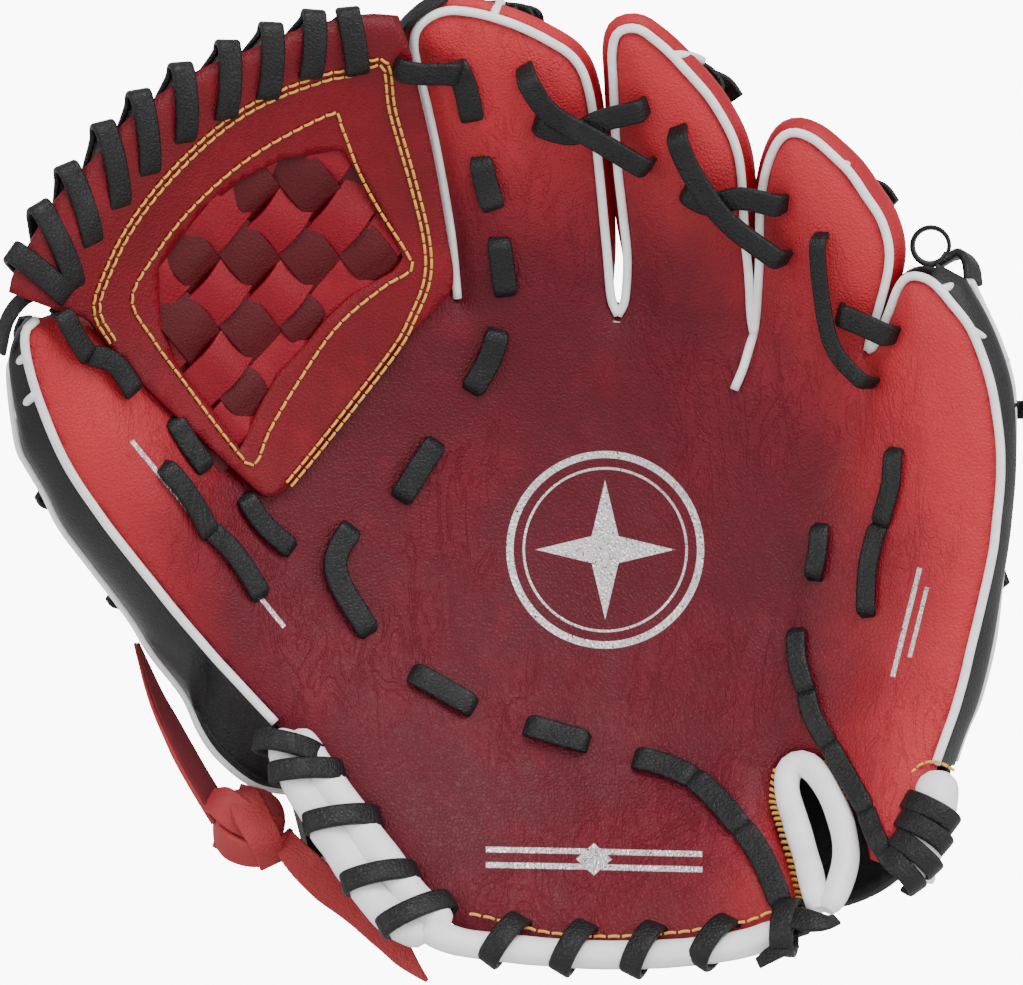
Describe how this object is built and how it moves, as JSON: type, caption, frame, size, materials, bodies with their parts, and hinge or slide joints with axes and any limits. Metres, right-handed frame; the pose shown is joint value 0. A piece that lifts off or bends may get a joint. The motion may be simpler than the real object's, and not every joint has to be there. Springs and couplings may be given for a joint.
{
  "type": "baseball glove",
  "caption": "Youth baseball fielder's glove for the left hand, open, with woven basket web, laced stalls and wrist strap.",
  "frame": {"origin": "middle of the opening the hand goes into, at the heel, halfway through the cavity", "axes": "+Z from the heel to the fingertips, +X from the thumb to the little finger, -Y is the way the palm faces"},
  "size_m": [0.252, 0.0903, 0.2445],
  "materials": {
    "red_palm_leather": "satin, finely creased",
    "red_shell_leather": "satin",
    "black_shell_leather": "satin",
    "pad_felt": "felt",
    "liner_leather": "soft, matte",
    "white_binding": "smooth",
    "red_web_leather": "satin",
    "red_weave_leather": "satin",
    "black_lace": "smooth rawhide",
    "red_strap_leather": "soft, matte"
  },
  "bodies": {
    "palm": {"palm_shell": "red_palm_leather", "palm_pad": "pad_felt", "palm_liner": "liner_leather", "index_gusset": "red_shell_leather", "index_back": "red_shell_leather", "middle_gusset": "red_shell_leather", "middle_back": "red_shell_leather", "ring_gusset": "red_shell_leather", "ring_back": "red_shell_leather", "finger_piping": "white_binding", "hand_back": "black_shell_leather", "wrist_band": "black_shell_leather", "wrist_binding": "white_binding", "heel_binding": "white_binding", "notch_binding": "white_binding", "web_index_frame": "red_web_leather", "web_index_weave": "red_weave_leather", "web_index_top_lace": "black_lace", "palm_lace": "black_lace", "finger_lace": "black_lace", "heel_lace": "black_lace", "finger_knots": "black_lace"},
    "thumb": {"thumb_front": "red_palm_leather", "thumb_pad": "pad_felt", "thumb_liner": "liner_leather", "thumb_gusset": "black_shell_leather", "thumb_back": "black_shell_leather", "thumb_piping": "white_binding", "thumb_heel_binding": "white_binding", "web_thumb_frame": "red_web_leather", "web_thumb_weave": "red_weave_leather", "web_thumb_top_lace": "black_lace", "thumb_lace": "black_lace", "thumb_heel_lace": "black_lace", "thumb_knots": "black_lace", "wrist_strap": "red_strap_leather", "strap_knot": "red_strap_leather"},
    "pinky": {"pinky_front": "red_palm_leather", "pinky_pad": "pad_felt", "pinky_liner": "liner_leather", "pinky_gusset": "black_shell_leather", "pinky_back": "black_shell_leather", "pinky_piping": "white_binding", "pinky_heel_binding": "white_binding", "pinky_notch_binding": "white_binding", "pinky_lace": "black_lace", "pinky_heel_lace": "black_lace", "pinky_knots": "black_lace"},
    "tail": {"strap_tail": "red_strap_leather"}
  },
  "joints": [
    {"name": "thumb_fold", "type": "hinge", "parent": "palm", "child": "thumb", "pos_m": [-0.06645, -0.0425, 0.0852], "axis": [-0.3704, -0.0623, 0.9268], "range_deg": [0, 40], "stiffness_Nm_per_rad": 0.6},
    {"name": "pinky_fold", "type": "hinge", "parent": "palm", "child": "pinky", "pos_m": [0.05835, -0.0351, 0.0819], "axis": [-0.1771, -0.1591, -0.9713], "range_deg": [0, 30], "stiffness_Nm_per_rad": 0.6},
    {"name": "tail_swing", "type": "hinge", "parent": "thumb", "child": "tail", "pos_m": [-0.07, -0.009, 0], "axis": [0, 1, 0], "range_deg": [0, 40]}
  ]
}
